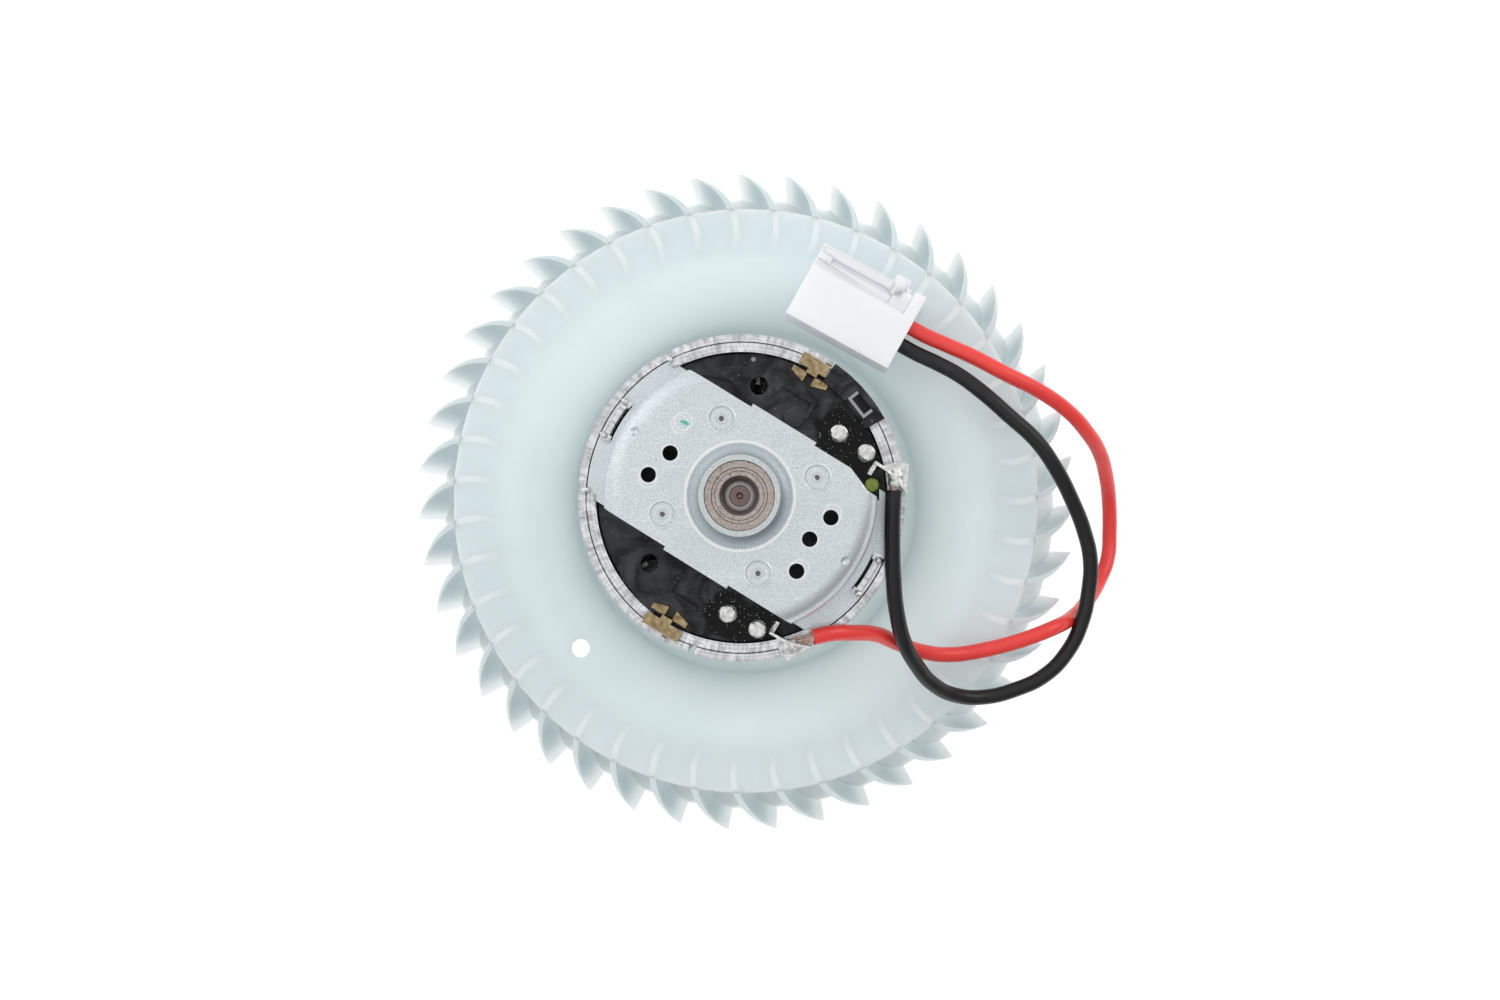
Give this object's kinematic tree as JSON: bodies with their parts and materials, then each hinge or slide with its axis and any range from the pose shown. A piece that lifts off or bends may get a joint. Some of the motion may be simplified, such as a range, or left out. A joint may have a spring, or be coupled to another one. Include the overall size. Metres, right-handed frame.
{
  "type": "dc blower fan",
  "caption": "Brushed motor nested in a translucent squirrel-cage wheel, with two leads ending in a small two-way plug.",
  "frame": {"origin": "on the shaft axis, in the plane of the inlet ring's lower face, which the part lies on", "axes": "+Z along the shaft from the wheel's inlet towards the motor's brush end; +X towards the leads"},
  "size_m": [0.1526, 0.14, 0.076],
  "materials": {
    "wheel_resin": "translucent natural polypropylene, satin",
    "bright_steel": "ground",
    "lamination": "oxide grey",
    "red_fibre": "matt",
    "enamelled_copper": "glossy enamel",
    "copper": "bare copper",
    "white_nylon": "satin",
    "brown_fibre": "matt",
    "zinc_plate": "fine-grained zinc plating",
    "ferrite": "matt sintered",
    "sintered_bronze": "matt sintered, oil dark",
    "felt": "oiled felt",
    "black_moulding": "satin",
    "brass": "bright",
    "carbon": "graphite sheen",
    "tinned_brass": "hot-tinned",
    "green_epoxy": "dipped epoxy",
    "red_vinyl": "glossy",
    "black_vinyl": "semi-gloss"
  },
  "bodies": {
    "motor": {"motor_can": "zinc_plate", "flux_ring": "zinc_plate", "magnets": "ferrite", "magnet_clips": "bright_steel", "front_bush": "sintered_bronze", "front_felt_ring": "felt", "front_bush_retainer": "zinc_plate", "rear_end_plate": "zinc_plate", "rear_bush": "sintered_bronze", "rear_felt_ring": "felt", "rear_bush_retainer": "zinc_plate", "brush_card": "black_moulding", "brush_holder_positive": "brass", "brush_holder_negative": "brass", "brush_spring_positive": "bright_steel", "brush_spring_negative": "bright_steel", "brush_lead_positive": "copper", "brush_lead_negative": "copper", "terminal_positive": "tinned_brass", "terminal_negative": "tinned_brass", "card_rivets": "tinned_brass", "suppression_chokes": "enamelled_copper", "suppression_capacitor": "green_epoxy", "red_wire": "red_vinyl", "black_wire": "black_vinyl", "connector_housing": "white_nylon", "connector_contacts": "brass"},
    "rotor": {"impeller_hub_plate": "wheel_resin", "impeller_blades": "wheel_resin", "impeller_inlet_ring": "wheel_resin", "hub_retaining_washer": "bright_steel", "shaft": "bright_steel", "armature_core": "lamination", "core_insulators": "red_fibre", "armature_windings": "enamelled_copper", "commutator_shell": "black_moulding", "commutator_bars": "copper", "spacer_sleeve": "white_nylon", "thrust_washers": "brown_fibre"},
    "brush_positive": {"carbon_brush_positive": "carbon"},
    "brush_negative": {"carbon_brush_negative": "carbon"}
  },
  "joints": [
    {"name": "rotor_spin", "type": "hinge", "parent": "motor", "child": "rotor", "pos_m": [0, 0, 0.035], "axis": [0, 0, 1], "continuous": true},
    {"name": "brush_positive_slide", "type": "slide", "parent": "motor", "child": "brush_positive", "axis": [-0.5255, -0.8508, 0], "range_m": [0, 0.0015], "stiffness_N_per_m": 600, "springref_m": -0.002, "deforming": ["brush_spring_positive", "brush_lead_positive"]},
    {"name": "brush_negative_slide", "type": "slide", "parent": "motor", "child": "brush_negative", "axis": [0.5255, 0.8508, 0], "range_m": [0, 0.0015], "stiffness_N_per_m": 600, "springref_m": -0.002, "deforming": ["brush_spring_negative", "brush_lead_negative"]}
  ]
}
